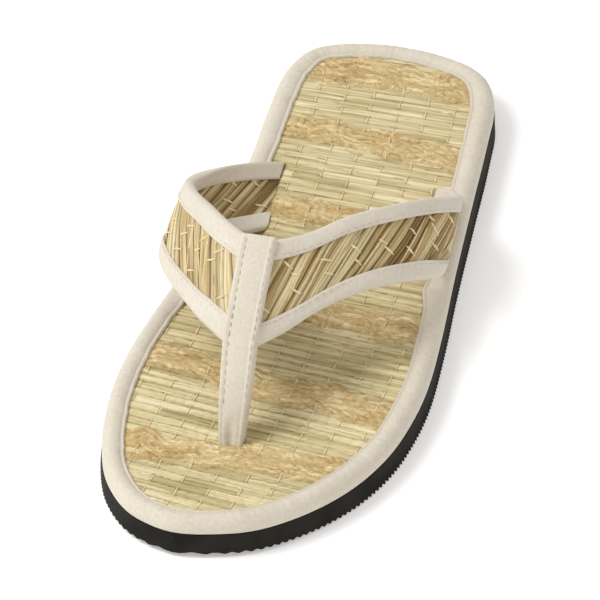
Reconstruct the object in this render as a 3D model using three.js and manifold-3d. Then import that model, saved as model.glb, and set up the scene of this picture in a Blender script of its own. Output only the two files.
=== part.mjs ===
// Zori sandal for the left foot, toe at -Y and outer side at +X, in millimetres.
// A foam outsole carries a rush footbed in a cotton edge tape. Two rush straps meet
// under a cotton centre band that runs down between the toes into the footbed.
import * as THREE from 'three';
import { mergeVertices } from 'three/addons/utils/BufferGeometryUtils.js';
import Module from 'manifold-3d';

const wasm = await Module();
wasm.setup();

// Sole and footbed
const SOLE_LENGTH = 260;
const SOLE_AT_TOE = 7.7;
const SOLE_AT_HEEL = 10;
const SOLE_FLARE = 0.4;
const SOLE_CHAMFER = 0.9;
const TOE_SPRING = 1.6;
const SPRING_START = 62;
const BOARD_HEIGHT = 3.6;
const EDGE_TAPE_AT_TOE = 7;
const EDGE_TAPE_AT_HEEL = 8.4;
const EDGE_TAPE_WALL = 1.2;
const EDGE_TAPE_CROWN = 0.7;

// Straps, their tapes and the centre band
const STRAP_WALL = 2;
const STRAP_CROWN = 1.2;
const INNER_TAPE_WIDTH = 9.3;
const OUTER_TAPE_WIDTH = 7.8;
const STRAP_TAPE_WALL = 0.8;
const BAND_HEIGHT = 5.6;
const GAP = 0.3;

// Facet counts
const OUTLINE_POINTS = 92;
const STRAP_SECTIONS = 60;
const BAND_SECTIONS = 26;

// Outer edge of the sole: distance from the toe, inner side and outer side.
const TOE_TIP_X = -13;
const HEEL_TIP_X = -2;
const SOLE_ROWS = [
  { fromToe: 3, inner: -24.5, outer: 1.5 },
  { fromToe: 8, inner: -32, outer: 12.4 },
  { fromToe: 19.5, inner: -40.7, outer: 25.2 },
  { fromToe: 35, inner: -46.4, outer: 36.2 },
  { fromToe: 53, inner: -49.8, outer: 43.6 },
  { fromToe: 71, inner: -50.8, outer: 47 },
  { fromToe: 89, inner: -49.6, outer: 48 },
  { fromToe: 117, inner: -45.4, outer: 46.2 },
  { fromToe: 145, inner: -41, outer: 43.4 },
  { fromToe: 183, inner: -38.5, outer: 40.2 },
  { fromToe: 218, inner: -39.5, outer: 37.4 },
  { fromToe: 238, inner: -38.8, outer: 35 },
  { fromToe: 250.5, inner: -33.4, outer: 29 },
  { fromToe: 257, inner: -22, outer: 18 },
];

// Strap edges from the inner tuck over the instep to the outer tuck. Heights are
// over the footbed; the middle row is where the straps cross.
const STRAP_ROWS = [
  { frontX: -23, frontY: 21.7, frontZ: -0.8, rearX: -26.6, rearY: 57.7, rearZ: -0.9 },
  { frontX: -36.5, frontY: 5.5, frontZ: 5, rearX: -35.5, rearY: 43, rearZ: 8.5 },
  { frontX: -46.5, frontY: -10, frontZ: 11.5, rearX: -43, rearY: 27, rearZ: 17 },
  { frontX: -45.5, frontY: -24, frontZ: 17, rearX: -45.5, rearY: 12.5, rearZ: 23.8 },
  { frontX: -38.5, frontY: -39, frontZ: 21.2, rearX: -40.5, rearY: -2, rearZ: 31 },
  { frontX: -29, frontY: -52, frontZ: 24.2, rearX: -31.5, rearY: -15.6, rearZ: 37.3 },
  { frontX: -19.5, frontY: -63.5, frontZ: 26.5, rearX: -20.5, rearY: -29.6, rearZ: 42.3 },
  { frontX: -7.2, frontY: -71, frontZ: 26, rearX: -9, rearY: -38.5, rearZ: 45 },
  { frontX: 3, frontY: -61.5, frontZ: 26, rearX: 3, rearY: -30, rearZ: 43 },
  { frontX: 13, frontY: -46, frontZ: 26.5, rearX: 14.5, rearY: -14.5, rearZ: 41 },
  { frontX: 24, frontY: -31.5, frontZ: 25, rearX: 25.5, rearY: 1.5, rearZ: 35.5 },
  { frontX: 34, frontY: -18, frontZ: 20, rearX: 33.5, rearY: 16.5, rearZ: 28 },
  { frontX: 40.8, frontY: -4.5, frontZ: 12.5, rearX: 38.8, rearY: 31.5, rearZ: 18.5 },
  { frontX: 37.5, frontY: 9.5, frontZ: 5.2, rearX: 35, rearY: 46, rearZ: 9 },
  { frontX: 27, frontY: 22.6, frontZ: -0.8, rearX: 28.4, rearY: 57.2, rearZ: -0.9 },
];
const CROSSING = 0.5;
const TUCK_SHARE = 1 / 6;

// Centre band below the crossing: the toe post and its root in the footbed.
const POST_ROWS = [
  { x: -6, y: -85.5, z: -2.4, width: 7.8 },
  { x: -6, y: -85, z: 0, width: 8.2 },
  { x: -6.3, y: -80, z: 12, width: 9.8 },
  { x: -6.7, y: -74.5, z: 21, width: 10.6 },
];
const BAND_AT_CROSSING = 11;
const BAND_AT_REAR = 11.8;
const BAND_REACH = 0.6;

const COLOURS = {
  foam: 0x24221f,
  rush: 0xb6a06c,
  cotton: 0xe2dcc9,
};

// Height of the foam's top face and of the footbed at a place along the shoe
const toeY = -SOLE_LENGTH / 2;
function springAt(y) {
  const reach = Math.max(0, toeY + SPRING_START - y) / SPRING_START;
  return TOE_SPRING * reach * reach;
}
function foamTop(y) {
  const share = (y - toeY) / SOLE_LENGTH;
  return springAt(y) + SOLE_AT_TOE + (SOLE_AT_HEEL - SOLE_AT_TOE) * share;
}
function matTop(y) {
  return foamTop(y) + BOARD_HEIGHT;
}
function edgeTapeWidth(y) {
  const share = (y - toeY) / SOLE_LENGTH;
  return EDGE_TAPE_AT_TOE + (EDGE_TAPE_AT_HEEL - EDGE_TAPE_AT_TOE) * share;
}

// Closed edge line of the sole, and the same line moved inward
const outerSide = SOLE_ROWS.map((row) => new THREE.Vector3(row.outer, toeY + row.fromToe, 0));
const innerSide = SOLE_ROWS.map((row) => new THREE.Vector3(row.inner, toeY + row.fromToe, 0));
const edgeLine = new THREE.CatmullRomCurve3([
  new THREE.Vector3(TOE_TIP_X, toeY, 0),
  ...outerSide,
  new THREE.Vector3(HEEL_TIP_X, toeY + SOLE_LENGTH, 0),
  ...innerSide.reverse(),
], true, 'centripetal');
function edgePoint(index, inset) {
  const share = (index + 0.5) / OUTLINE_POINTS;
  const point = edgeLine.getPoint(share);
  const run = edgeLine.getTangent(share);
  return new THREE.Vector3(point.x - run.y * inset, point.y + run.x * inset, 0);
}
function edgeRing(inset, height) {
  const ring = [];
  for (let i = 0; i < OUTLINE_POINTS; i += 1) {
    const point = edgePoint(i, inset);
    point.z = height(point.y);
    ring.push(point);
  }
  return ring;
}

// Closed solid from equal loops of points. A loop's first half faces its second
// half, so each open end is closed by a ladder between the two.
function loft(loops, ring = false) {
  const size = loops[0].length;
  const positions = [];
  loops.forEach((loop) => loop.forEach((point) => positions.push(point.x, point.y, point.z)));
  const faces = [];
  const quad = (a, b, c, d) => faces.push(a, b, c, a, c, d);
  const spans = ring ? loops.length : loops.length - 1;
  for (let i = 0; i < spans; i += 1) {
    const here = i * size;
    const next = ((i + 1) % loops.length) * size;
    for (let j = 0; j < size; j += 1) {
      const k = (j + 1) % size;
      quad(here + j, here + k, next + k, next + j);
    }
  }
  if (!ring) {
    const last = (loops.length - 1) * size;
    for (let j = 0; j < size / 2 - 1; j += 1) {
      const facing = size - 1 - j;
      quad(j, facing, facing - 1, j + 1);
      quad(last + j, last + j + 1, last + facing - 1, last + facing);
    }
  }
  const geometry = new THREE.BufferGeometry();
  geometry.setAttribute('position', new THREE.Float32BufferAttribute(positions, 3));
  geometry.setIndex(signedVolume(positions, faces) < 0 ? faces.reverse() : faces);
  return geometry;
}
function signedVolume(positions, faces) {
  const corner = (index) => new THREE.Vector3().fromArray(positions, index * 3);
  let total = 0;
  for (let i = 0; i < faces.length; i += 3) {
    const side = corner(faces[i + 1]).cross(corner(faces[i + 2]));
    total += corner(faces[i]).dot(side);
  }
  return total;
}

// Solids for joining and cutting, and back to a geometry
function solid(geometry) {
  geometry.deleteAttribute('normal');
  geometry.deleteAttribute('uv');
  const merged = mergeVertices(geometry);
  return new wasm.Manifold(new wasm.Mesh({
    numProp: 3,
    vertProperties: new Float32Array(merged.attributes.position.array),
    triVerts: new Uint32Array(merged.index.array),
  }));
}
function faceted(body) {
  const mesh = body.getMesh();
  const geometry = new THREE.BufferGeometry();
  geometry.setAttribute('position', new THREE.BufferAttribute(mesh.vertProperties, 3));
  geometry.setIndex(new THREE.BufferAttribute(mesh.triVerts, 1));
  return geometry;
}

// Foam outsole: chamfered floor edge, slightly flared wall, flat top
function outsole() {
  const floor = (y) => springAt(y);
  const aboveFloor = (y) => springAt(y) + SOLE_CHAMFER;
  return solid(loft([
    edgeRing(SOLE_CHAMFER - SOLE_FLARE, floor),
    edgeRing(-SOLE_FLARE, aboveFloor),
    edgeRing(0, foamTop),
  ]));
}

// Footbed board under the mat, rounded where the edge tape rolls over it
function footbed() {
  const rim = EDGE_TAPE_WALL + GAP;
  const drop = BOARD_HEIGHT / 2;
  return solid(loft([
    edgeRing(rim, (y) => foamTop(y) + GAP),
    edgeRing(rim, (y) => matTop(y) - drop),
    edgeRing(rim + drop * 0.35, (y) => matTop(y) - drop * 0.4),
    edgeRing(rim + drop, matTop),
    edgeRing(EDGE_TAPE_AT_HEEL + rim, matTop),
  ]));
}

// Edge tape: a rolled flange on the mat that turns down over the board's rim
function edgeTape() {
  const rim = EDGE_TAPE_WALL + GAP;
  const drop = BOARD_HEIGHT / 2;
  const top = GAP + EDGE_TAPE_WALL;
  const section = (width) => [
    { inset: width, over: GAP + EDGE_TAPE_WALL * 0.6 },
    { inset: width * 0.8, over: top + EDGE_TAPE_CROWN * 0.6 },
    { inset: width * 0.55, over: top + EDGE_TAPE_CROWN },
    { inset: width * 0.3, over: top + EDGE_TAPE_CROWN * 0.3 },
    { inset: width * 0.1, over: -drop * 0.1 },
    { inset: 0, over: -drop },
    { inset: 0, over: GAP - BOARD_HEIGHT },
    { inset: EDGE_TAPE_WALL, over: GAP - BOARD_HEIGHT },
    { inset: EDGE_TAPE_WALL, over: -drop },
    { inset: EDGE_TAPE_WALL + drop * 0.3, over: -drop * 0.25 },
    { inset: rim + drop, over: GAP },
    { inset: width * 0.55, over: GAP },
    { inset: width * 0.8, over: GAP },
    { inset: width, over: GAP },
  ];
  const loops = [];
  for (let i = 0; i < OUTLINE_POINTS; i += 1) {
    const width = edgeTapeWidth(edgePoint(i, 0).y);
    loops.push(section(width).map((row) => {
      const point = edgePoint(i, row.inset);
      point.z = matTop(point.y) + row.over;
      return point;
    }));
  }
  return solid(loft(loops, true));
}

// Strap surface: a place along the strap, a distance from the front edge and a
// height over the mid surface
const overMat = (x, y, z) => new THREE.Vector3(x, y, matTop(y) + z);
const frontEdge = new THREE.CatmullRomCurve3(
  STRAP_ROWS.map((row) => overMat(row.frontX, row.frontY, row.frontZ)), false, 'catmullrom', 0.5);
const rearEdge = new THREE.CatmullRomCurve3(
  STRAP_ROWS.map((row) => overMat(row.rearX, row.rearY, row.rearZ)), false, 'catmullrom', 0.5);
function strapStation(along) {
  const front = frontEdge.getPoint(along);
  const across = rearEdge.getPoint(along).sub(front);
  const width = across.length();
  across.normalize();
  const run = frontEdge.getTangent(along).add(rearEdge.getTangent(along)).normalize();
  const rise = new THREE.Vector3().crossVectors(run, across).normalize();
  return { front, across, rise, width };
}
function strapPoint(station, fromFront, over) {
  const side = 2 * fromFront / station.width - 1;
  const crown = STRAP_CROWN * (1 - side * side);
  return station.front.clone()
    .addScaledVector(station.across, fromFront)
    .addScaledVector(station.rise, over + crown);
}
function strapLoft(from, to, section) {
  const count = Math.max(8, Math.round(STRAP_SECTIONS * (to - from)));
  const loops = [];
  for (let i = 0; i <= count; i += 1) {
    const station = strapStation(from + (to - from) * i / count);
    loops.push(section(station.width).map((row) => strapPoint(station, row.fromFront, row.over)));
  }
  return solid(loft(loops));
}

// Flat strap of a given margin inside its edges and half height
function strapSlab(from, to, margin, half) {
  const shares = [0, 0.2, 0.4, 0.6, 0.8, 1];
  return strapLoft(from, to, (width) => {
    const places = shares.map((share) => margin + (width - 2 * margin) * share);
    const top = places.map((fromFront) => ({ fromFront, over: half }));
    const under = places.map((fromFront) => ({ fromFront, over: -half }));
    return [...top, ...under.reverse()];
  });
}

// Tape folded over one edge of a strap
function strapTape(from, to, onRear, tapeWidth) {
  const inside = STRAP_WALL / 2 + GAP;
  const outside = inside + STRAP_TAPE_WALL;
  const fold = STRAP_TAPE_WALL + GAP / 2;
  const outline = [
    { inFrom: tapeWidth, over: outside },
    { inFrom: tapeWidth / 2, over: outside },
    { inFrom: fold, over: outside },
    { inFrom: 0, over: outside * 0.4 },
    { inFrom: 0, over: -outside * 0.4 },
    { inFrom: fold, over: -outside },
    { inFrom: tapeWidth / 2, over: -outside },
    { inFrom: tapeWidth, over: -outside },
    { inFrom: tapeWidth, over: -inside },
    { inFrom: tapeWidth / 2, over: -inside },
    { inFrom: fold * 1.2, over: -inside },
    { inFrom: fold, over: -inside * 0.4 },
    { inFrom: fold, over: inside * 0.4 },
    { inFrom: fold * 1.2, over: inside },
    { inFrom: tapeWidth / 2, over: inside },
    { inFrom: tapeWidth, over: inside },
  ];
  return strapLoft(from, to, (width) => outline.map((row) => ({
    fromFront: onRear ? width - row.inFrom : row.inFrom,
    over: row.over,
  })));
}

// Centre band and toe post, grown all round by a clearance
const crossing = strapStation(CROSSING);
function bandRows() {
  const root = POST_ROWS.map((row) => ({ centre: overMat(row.x, row.y, row.z), width: row.width }));
  const shares = [0.06, 0.2, 0.4, 0.6, 0.8];
  const over = shares.map((share) => ({
    centre: strapPoint(crossing, crossing.width * share, 0),
    width: BAND_AT_CROSSING + (BAND_AT_REAR - BAND_AT_CROSSING) * share,
  }));
  const end = { centre: strapPoint(crossing, crossing.width + BAND_REACH, 0), width: BAND_AT_REAR };
  return [...root, ...over, end];
}
function centreBand(clearance) {
  const rows = bandRows();
  const path = new THREE.CatmullRomCurve3(rows.map((row) => row.centre));
  const sideways = new THREE.Vector3(1, 0, 0);
  const loops = [];
  for (let i = 0; i <= BAND_SECTIONS; i += 1) {
    const share = i / BAND_SECTIONS;
    const place = share * (rows.length - 1);
    const low = Math.min(Math.floor(place), rows.length - 2);
    const width = THREE.MathUtils.lerp(rows[low].width, rows[low + 1].width, place - low);
    const centre = path.getPoint(share);
    const rise = new THREE.Vector3().crossVectors(sideways, path.getTangent(share)).normalize();
    const half = width / 2 + clearance;
    const tall = BAND_HEIGHT / 2 + clearance;
    const section = [
      { side: -half, over: tall * 0.45 },
      { side: -half + 0.9, over: tall * 0.9 },
      { side: -half * 0.5, over: tall },
      { side: half * 0.5, over: tall },
      { side: half - 0.9, over: tall * 0.9 },
      { side: half, over: tall * 0.45 },
      { side: half, over: -tall * 0.45 },
      { side: half - 0.9, over: -tall * 0.9 },
      { side: half * 0.5, over: -tall },
      { side: -half * 0.5, over: -tall },
      { side: -half + 0.9, over: -tall * 0.9 },
      { side: -half, over: -tall * 0.45 },
    ];
    loops.push(section.map((row) => centre.clone()
      .addScaledVector(sideways, row.side)
      .addScaledVector(rise, row.over)));
  }
  return solid(loft(loops));
}

// Straps, and the room that each piece leaves for its neighbours
const strapMargin = STRAP_TAPE_WALL + 2 * GAP;
const straps = strapSlab(0, 1, strapMargin, STRAP_WALL / 2);
const strapRoom = strapSlab(0.3, 0.7, strapMargin - GAP, STRAP_WALL / 2 + GAP);
const tuckHalf = STRAP_WALL / 2 + STRAP_TAPE_WALL + 2 * GAP;
const innerTuck = strapSlab(0, TUCK_SHARE, -GAP, tuckHalf);
const outerTuck = strapSlab(1 - TUCK_SHARE, 1, -GAP, tuckHalf);
const bandRoom = centreBand(GAP);

const shoe = new THREE.Group();
shoe.name = 'zori_sandal_left';
function addPiece(name, body, colour, roughness) {
  const material = new THREE.MeshStandardMaterial({ color: colour, roughness, metalness: 0 });
  const mesh = new THREE.Mesh(faceted(body), material);
  mesh.name = name;
  shoe.add(mesh);
}
const cutForStraps = (body) => body.subtract(innerTuck).subtract(outerTuck);
addPiece('outsole', outsole(), COLOURS.foam, 0.85);
addPiece('footbed', cutForStraps(footbed()).subtract(bandRoom), COLOURS.rush, 0.8);
addPiece('edge_tape', cutForStraps(edgeTape()), COLOURS.cotton, 0.9);
addPiece('upper_straps', straps, COLOURS.rush, 0.8);
addPiece('centre_band', centreBand(0).subtract(strapRoom), COLOURS.cotton, 0.9);
const tapes = [
  { name: 'tape_inner_front', from: 0, to: CROSSING, onRear: false, width: INNER_TAPE_WIDTH },
  { name: 'tape_inner_rear', from: 0, to: CROSSING, onRear: true, width: INNER_TAPE_WIDTH },
  { name: 'tape_outer_front', from: CROSSING, to: 1, onRear: false, width: OUTER_TAPE_WIDTH },
  { name: 'tape_outer_rear', from: CROSSING, to: 1, onRear: true, width: OUTER_TAPE_WIDTH },
];
tapes.forEach((tape) => {
  const body = strapTape(tape.from, tape.to, tape.onRear, tape.width).subtract(bandRoom);
  addPiece(tape.name, body, COLOURS.cotton, 0.9);
});

// The floor point under the middle of the shoe's box is the origin.
const box = new THREE.Box3().setFromObject(shoe);
const middle = box.getCenter(new THREE.Vector3());
shoe.children.forEach((mesh) => mesh.position.set(-middle.x, -middle.y, -box.min.z));

export default shoe;
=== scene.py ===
"""Zori sandal for the left foot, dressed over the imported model, in metres."""
import math

import bpy
import numpy as np
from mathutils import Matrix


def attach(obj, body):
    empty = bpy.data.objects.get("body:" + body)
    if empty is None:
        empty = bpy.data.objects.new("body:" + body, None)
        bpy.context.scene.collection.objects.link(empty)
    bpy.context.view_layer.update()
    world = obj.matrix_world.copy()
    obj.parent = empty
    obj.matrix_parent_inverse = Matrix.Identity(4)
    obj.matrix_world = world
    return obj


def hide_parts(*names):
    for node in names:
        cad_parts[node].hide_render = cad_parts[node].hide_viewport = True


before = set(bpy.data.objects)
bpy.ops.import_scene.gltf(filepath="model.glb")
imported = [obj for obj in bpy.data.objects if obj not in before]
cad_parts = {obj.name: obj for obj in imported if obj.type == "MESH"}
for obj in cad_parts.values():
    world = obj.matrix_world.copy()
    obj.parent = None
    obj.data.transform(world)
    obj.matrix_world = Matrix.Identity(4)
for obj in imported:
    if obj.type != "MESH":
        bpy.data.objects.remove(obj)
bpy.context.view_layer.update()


# Outsole
# A black foam slab cut to the shape of the foot. Its underside is moulded in fine
# cross ribs, which show as small teeth all along the lower edge of the wall.
MM = 0.001
sole_length = 260 * MM
toe_spring = 1.6 * MM
spring_reach = 62 * MM
rib_pitch = 1.8 * MM
rib_depth = 0.8 * MM
rib_bulge = 0.45 * MM
wall_flare = 0.35 * MM
foam_top_low = 6 * MM
edge_samples = 4000
tip_reach = 6 * MM


def node_points(node):
    """Corner points of a CAD node, each once."""
    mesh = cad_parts[node].data
    points = np.empty(len(mesh.vertices) * 3)
    mesh.vertices.foreach_get("co", points)
    return np.unique(points.reshape(-1, 3).round(6), axis=0)


def rounded_path(points, steps, closed=False):
    """Smooth path through points, with a number of steps to each span."""
    if closed:
        ring = np.vstack([points[-1:], points, points[:2]])
    else:
        first = 2 * points[0] - points[1]
        last = 2 * points[-1] - points[-2]
        ring = np.vstack([first, points, last])
    share = np.linspace(0, 1, steps, endpoint=False)[:, None]
    spans = []
    for a, b, c, d in zip(ring[:-3], ring[1:-2], ring[2:-1], ring[3:]):
        leave, arrive = (c - a) / 2, (d - b) / 2
        cubic = 2 * (b - c) + leave + arrive
        square = 3 * (c - b) - 2 * leave - arrive
        spans.append(b + leave * share + square * share**2 + cubic * share**3)
    path = np.vstack(spans)
    return path if closed else np.vstack([path, points[-1:]])


foam_points = node_points("outsole")
foam_ring = foam_points[foam_points[:, 2] > foam_top_low]
turn = np.arctan2(foam_ring[:, 0], -foam_ring[:, 1])
foam_ring = foam_ring[np.argsort(turn)]
edge_path = rounded_path(foam_ring, 12, closed=True)
edge_run = np.roll(edge_path, -1, axis=0) - np.roll(edge_path, 1, axis=0)
edge_run[:, 2] = 0
edge_run /= np.linalg.norm(edge_run, axis=1)[:, None]
edge_out = np.column_stack([edge_run[:, 1], -edge_run[:, 0]])
edge_length = np.linalg.norm(np.roll(edge_path, -1, axis=0) - edge_path, axis=1)
edge_from_toe = np.concatenate([[0], np.cumsum(edge_length)])


def sole_edge(distance, inset):
    """Point of the sole's edge at a distance round it, moved inwards."""
    closing = [np.append(edge_path[:, k], edge_path[0, k]) for k in (0, 1)]
    outward = [np.append(edge_out[:, k], edge_out[0, k]) for k in (0, 1)]
    x, y = (np.interp(distance, edge_from_toe, column) for column in closing)
    nx, ny = (np.interp(distance, edge_from_toe, column) for column in outward)
    size = np.hypot(nx, ny)
    return x - nx / size * inset, y - ny / size * inset


height_order = np.argsort(foam_ring[:, 1])
height_y = foam_ring[height_order, 1]
height_z = foam_ring[height_order, 2]


def foam_top(y):
    """Height of the foam's top face at a place along the shoe."""
    return np.interp(y, height_y, height_z)


def floor_lift(y):
    """Height of the underside: flat, with a little spring at the toe."""
    reach = np.clip((spring_reach - sole_length / 2 - y) / spring_reach, 0, 1)
    return toe_spring * reach**2


def sole_sides(y, inset):
    """Inner and outer edge of the sole, moved inwards, at places along it."""
    around = np.linspace(0, edge_from_toe[-1], edge_samples, endpoint=False)
    ex, ey = sole_edge(around, inset)
    toe, heel = np.argmin(ey), np.argmax(ey)
    outer = np.arange(toe, toe + (heel - toe) % edge_samples + 1) % edge_samples
    inner = np.arange(heel, heel + (toe - heel) % edge_samples + 1)[::-1] % edge_samples
    sides = [np.interp(y, ey[side], ex[side]) for side in (inner, outer)]
    middle = sum(sides) / 2
    lowest, highest = ey[toe], ey[heel]
    ends = (y <= lowest + 1e-7) | (y >= highest - 1e-7)
    return [np.where(ends, middle, side) for side in sides]


def stations(inset, spacing):
    """Places along the shoe from tip to tip, closer together at the round ends."""
    around = np.linspace(0, edge_from_toe[-1], edge_samples, endpoint=False)
    ey = sole_edge(around, inset)[1]
    low, high = ey.min(), ey.max()
    tip = np.linspace(0, 1, 14)**2 * tip_reach
    count = int((high - low - 2 * tip_reach) / spacing)
    body = np.linspace(low + tip_reach, high - tip_reach, count)
    return np.concatenate([low + tip[:-1], body, high - tip[::-1][1:]])


def laid(name, points):
    """Grid of quads laid through rows of points."""
    rows, columns = points.shape[:2]
    bpy.ops.object.select_all(action="DESELECT")
    bpy.ops.mesh.primitive_grid_add(
        x_subdivisions=columns - 1, y_subdivisions=rows - 1, size=1, calc_uvs=True)
    piece = bpy.context.object
    piece.name = piece.data.name = name
    piece.data.vertices.foreach_set("co", points.reshape(-1))
    piece.data.update()
    return piece


def weld(piece, distance=0.004 * MM):
    """Closes the seam and the drawn-in ends of a laid piece and turns its normals outward."""
    bpy.ops.object.select_all(action="DESELECT")
    piece.select_set(True)
    bpy.context.view_layer.objects.active = piece
    bpy.ops.object.mode_set(mode="EDIT")
    bpy.ops.mesh.select_all(action="SELECT")
    bpy.ops.mesh.remove_doubles(threshold=distance)
    bpy.ops.mesh.dissolve_degenerate(threshold=distance)
    bpy.ops.mesh.normals_make_consistent(inside=False)
    bpy.ops.object.mode_set(mode="OBJECT")


def smooth(piece, angle):
    """Soft shading across all but the sharp folds."""
    bpy.ops.object.select_all(action="DESELECT")
    piece.select_set(True)
    bpy.context.view_layer.objects.active = piece
    bpy.ops.object.shade_smooth_by_angle(angle=math.radians(angle))


def add_attribute(piece, name, values):
    """A number for each point of a laid piece, before its seam is welded."""
    attribute = piece.data.attributes.new(name, "FLOAT", "POINT")
    attribute.data.foreach_set("value", np.asarray(values, dtype=float).reshape(-1))


def fit_out(piece, slot, *nodes):
    """Ties a finished piece to the shoe and hides the solid it stands for; its finish (slot) is not
    used.
    """
    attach(piece, "root")
    if nodes:
        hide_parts(*nodes)


def smoothstep(low, high, value):
    """Ease from 0 at low to 1 at high."""
    share = np.clip((value - low) / (high - low), 0, 1)
    return share * share * (3 - 2 * share)


foam_y = stations(-wall_flare, rib_pitch / 5)
inner_x, outer_x = sole_sides(foam_y, 0)
low_inner, low_outer = sole_sides(foam_y, -wall_flare)
tooth = np.abs((foam_y / rib_pitch) % 1 - 0.5) * 2
tooth = np.clip(tooth * 1.6 - 0.3, 0, 1)
under = floor_lift(foam_y) + rib_depth * tooth
over = foam_top(foam_y)
from_tip = np.minimum(foam_y - foam_y[0], foam_y[-1] - foam_y)
bulge = rib_bulge * (1 - tooth) * smoothstep(10 * MM, 55 * MM, from_tip)
wall_shares = (
    # share of the wall's height, share of the rib's bulge
    (0.0, 1.0), (0.07, 1.0), (0.2, 0.7), (0.32, 0.0), (0.6, 0.0), (0.92, 0.0), (1.0, 0.0))
loop = []
for share in (0.015, 0.06, 0.2, 0.4, 0.6, 0.8, 0.94, 0.985):
    loop.append((low_inner + (low_outer - low_inner) * share, under))
for share, swell in wall_shares:
    wall_x = low_outer + (outer_x - low_outer) * share + bulge * swell
    loop.append((wall_x, under + (over - under) * share))
for share in (0.98, 0.5, 0.02):
    loop.append((inner_x + (outer_x - inner_x) * share, over))
for share, swell in wall_shares[::-1]:
    wall_x = low_inner + (inner_x - low_inner) * share - bulge * swell
    loop.append((wall_x, under + (over - under) * share))
loop.append(loop[0])
foam_loops = np.stack([np.column_stack([x, foam_y, z]) for x, z in loop], axis=1)
outsole = laid("foam_outsole", foam_loops)
weld(outsole)
smooth(outsole, 32)
fit_out(outsole, "foam", "outsole")


def node_maker(tree):
    """Function that adds a node with its settings to a node tree."""
    def node(kind, **settings):
        made = tree.nodes.new(kind)
        for key, value in settings.items():
            if key in made.inputs:
                made.inputs[key].default_value = value
            else:
                setattr(made, key, value)
        return made
    return node


def new_material(name, roughness):
    """Empty node material with its shader, its link maker and a node maker."""
    material = bpy.data.materials.new(name)
    material.use_nodes = True
    tree = material.node_tree
    shader = tree.nodes["Principled BSDF"]
    shader.inputs["Roughness"].default_value = roughness
    return material, shader, tree.links.new, node_maker(tree)


def tint(red, green, blue):
    """Linear colour from a screen colour of 0 to 255."""
    def linear(level):
        share = level / 255
        return share / 12.92 if share <= 0.04045 else ((share + 0.055) / 1.055)**2.4
    return (linear(red), linear(green), linear(blue), 1.0)


def ramp(node, stops):
    """Colour ramp with stops of place and colour."""
    made = node("ShaderNodeValToRGB")
    bar = made.color_ramp
    while len(bar.elements) < len(stops):
        bar.elements.new(0.5)
    for element, (place, colour) in zip(bar.elements, stops):
        element.position = place
        element.color = colour
    return made


foam, shader, link, node = new_material("black_foam", 0.78)
shader.inputs["Specular IOR Level"].default_value = 0.16
place = node("ShaderNodeTexCoord")
cells = node("ShaderNodeTexNoise", Scale=2600.0, Detail=3.0)
dust = node("ShaderNodeTexNoise", Scale=90.0, Detail=6.0)
link(place.outputs["Object"], cells.inputs["Vector"])
link(place.outputs["Object"], dust.inputs["Vector"])
foam_tone = ramp(node, [(0.3, tint(24, 22, 18)), (0.7, tint(40, 37, 31))])
link(dust.outputs["Fac"], foam_tone.inputs["Fac"])
link(foam_tone.outputs["Color"], shader.inputs["Base Color"])
grain = node("ShaderNodeBump", Strength=0.35, Distance=0.0003)
link(cells.outputs["Fac"], grain.inputs["Height"])
link(grain.outputs["Normal"], shader.inputs["Normal"])
outsole.data.materials.append(foam)


# Straps' path
# The two side straps are one band that springs from a slit at each side of the
# footbed, stands out over the edge tape and meets its other half above the toe post.
CENTRE_X = 1.398 * MM
board_height = 3.6 * MM
strap_rows = np.array([
    # front x, front y, front height, rear x, rear y, rear height
    (-23, 21.7, -0.8, -26.6, 57.7, -0.9),
    (-36.5, 5.5, 5, -35.5, 43, 8.5),
    (-46.5, -10, 11.5, -43, 27, 17),
    (-45.5, -24, 17, -45.5, 12.5, 23.8),
    (-38.5, -39, 21.2, -40.5, -2, 31),
    (-29, -52, 24.2, -31.5, -15.6, 37.3),
    (-19.5, -63.5, 26.5, -20.5, -29.6, 42.3),
    (-7.2, -71, 26, -9, -38.5, 45),
    (3, -61.5, 26, 3, -30, 43),
    (13, -46, 26.5, 14.5, -14.5, 41),
    (24, -31.5, 25, 25.5, 1.5, 35.5),
    (34, -18, 20, 33.5, 16.5, 28),
    (40.8, -4.5, 12.5, 38.8, 31.5, 18.5),
    (37.5, 9.5, 5.2, 35, 46, 9),
    (27, 22.6, -0.8, 28.4, 57.2, -0.9),
]) * MM
strap_crown = 1.2 * MM


def mat_top(y):
    """Height of the footbed's mat at a place along the shoe."""
    return foam_top(y) + board_height


def strap_edge(first):
    """Dense path of one strap edge, standing over the mat."""
    points = strap_rows[:, first:first + 3].copy()
    points[:, 2] += mat_top(points[:, 1])
    points[:, 0] += CENTRE_X
    return rounded_path(points, 60)


strap_front, strap_rear = strap_edge(0), strap_edge(3)
strap_share = np.linspace(0, 1, len(strap_front))
strap_run = np.gradient(strap_front, axis=0)
strap_run /= np.linalg.norm(strap_run, axis=1)[:, None]
rear_run = np.gradient(strap_rear, axis=0)
strap_run += rear_run / np.linalg.norm(rear_run, axis=1)[:, None]


def strap_station(along):
    """Front edge, width, and the across and outward directions of the strap."""
    def at(path):
        return np.stack([np.interp(along, strap_share, path[:, k]) for k in range(3)], -1)
    front = at(strap_front)
    across = at(strap_rear) - front
    width = np.linalg.norm(across, axis=-1, keepdims=True)
    across = across / width
    outward = np.cross(at(strap_run), across)
    outward /= np.linalg.norm(outward, axis=-1, keepdims=True)
    return front, width, across, outward


def strap_point(along, from_front, over):
    """Points of the strap from arrays of place along, across and over it."""
    front, width, across, outward = strap_station(along)
    side = 2 * from_front / width[..., 0] - 1
    lift = over + strap_crown * (1 - side**2)
    return front + across * from_front[..., None] + outward * lift[..., None]


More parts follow.
